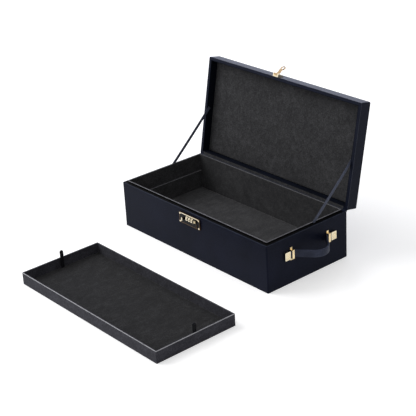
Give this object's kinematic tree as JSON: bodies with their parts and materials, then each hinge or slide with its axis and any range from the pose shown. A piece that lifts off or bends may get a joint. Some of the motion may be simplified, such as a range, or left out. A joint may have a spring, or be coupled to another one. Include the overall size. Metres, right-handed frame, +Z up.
{
  "type": "coin display case",
  "caption": "Hinged leather-covered case for coins, with a combination lock, hasp, ribbon stays, sliding strap handles on its ends and a shallow lift-out tray.",
  "frame": {"origin": "centre of the case's underside", "axes": "+X along the case, +Y from the lock to the lid's hinge, +Z up"},
  "size_m": [0.478, 0.5326, 0.2948],
  "materials": {
    "leather": "navy, satin",
    "suede": "charcoal suede",
    "wood": "bare",
    "gold": "polished, pale gold plate",
    "steel": "bright",
    "black": "gloss",
    "ribbon": "woven"
  },
  "bodies": {
    "base": {"base_shell": "leather", "base_liner": "suede", "floor_battens": "wood", "floor_pad": "suede", "tray_ledge_left": "suede", "tray_ledge_right": "suede", "underside_panel": "suede", "hinge_strip_base": "suede", "ribbon_stay_left": "ribbon", "ribbon_stay_right": "ribbon", "keepers_right": "gold", "keepers_left": "gold", "keeper_legs_right": "steel", "keeper_legs_left": "steel", "handle_strap_right": "leather", "handle_strap_left": "leather", "lock_plate": "gold", "lock_inlay": "black", "lock_case": "steel", "lock_axle": "steel", "lock_spring": "steel", "lock_screws": "gold", "lock_cover": "suede"},
    "lid": {"lid_shell": "leather", "lid_lining": "leather", "lid_pad": "suede", "hinge_strip_lid": "suede", "ribbon_tab_left": "suede", "ribbon_tab_right": "suede", "hasp_base": "gold", "hasp_screws": "gold", "hasp_pin": "gold"},
    "hasp_arm": {"hasp_arm": "gold"},
    "number_wheel_1": {"number_wheel_1": "gold"},
    "number_wheel_2": {"number_wheel_2": "gold"},
    "number_wheel_3": {"number_wheel_3": "gold"},
    "lock_slide": {"lock_slide": "gold"},
    "strap_cap_right_front": {"strap_cap_right_front": "gold"},
    "strap_cap_right_rear": {"strap_cap_right_rear": "gold"},
    "strap_cap_left_front": {"strap_cap_left_front": "gold"},
    "strap_cap_left_rear": {"strap_cap_left_rear": "gold"},
    "tray": {"tray_box": "suede", "tray_pad": "suede", "tray_loop_left": "ribbon", "tray_loop_right": "ribbon"}
  },
  "joints": [
    {"name": "lid_hinge", "type": "hinge", "parent": "base", "child": "lid", "pos_m": [0, 0.0975, 0.09], "axis": [1, 0, 0], "range_deg": [0, 101], "deforming": ["ribbon_stay_left", "ribbon_stay_right"]},
    {"name": "hasp_flip", "type": "hinge", "parent": "lid", "child": "hasp_arm", "pos_m": [-0.015, 0.1379, 0.28579], "axis": [1, 0, 0], "range_deg": [-28, 150]},
    {"name": "wheel_1_spin", "type": "hinge", "parent": "base", "child": "number_wheel_1", "pos_m": [-0.0055, -0.0975, 0.0762], "axis": [1, 0, 0], "continuous": true},
    {"name": "wheel_2_spin", "type": "hinge", "parent": "base", "child": "number_wheel_2", "pos_m": [0.0015, -0.0975, 0.0762], "axis": [1, 0, 0], "continuous": true},
    {"name": "wheel_3_spin", "type": "hinge", "parent": "base", "child": "number_wheel_3", "pos_m": [0.0085, -0.0975, 0.0762], "axis": [1, 0, 0], "continuous": true},
    {"name": "slide_travel", "type": "slide", "parent": "base", "child": "lock_slide", "axis": [1, 0, 0], "range_m": [0, 0.003], "stiffness_N_per_m": 150, "springref_m": -0.002, "deforming": ["lock_spring"]},
    {"name": "cap_slide_right_front", "type": "slide", "parent": "base", "child": "strap_cap_right_front", "axis": [0, -1, 0], "range_m": [-0.002, 0.011], "deforming": ["handle_strap_right"]},
    {"name": "cap_slide_right_rear", "type": "slide", "parent": "base", "child": "strap_cap_right_rear", "axis": [0, 1, 0], "range_m": [-0.002, 0.011]},
    {"name": "cap_slide_left_front", "type": "slide", "parent": "base", "child": "strap_cap_left_front", "axis": [0, -1, 0], "range_m": [-0.002, 0.011], "deforming": ["handle_strap_left"]},
    {"name": "cap_slide_left_rear", "type": "slide", "parent": "base", "child": "strap_cap_left_rear", "axis": [0, 1, 0], "range_m": [-0.002, 0.011]},
    {"name": "tray_lift", "type": "slide", "parent": "base", "child": "tray", "axis": [0, 0, 1], "range_m": [0, 0.1]}
  ],
  "couplings": [
    {"joint": "cap_slide_right_rear", "follows": "cap_slide_right_front", "ratio": 1},
    {"joint": "cap_slide_left_rear", "follows": "cap_slide_left_front", "ratio": 1}
  ]
}
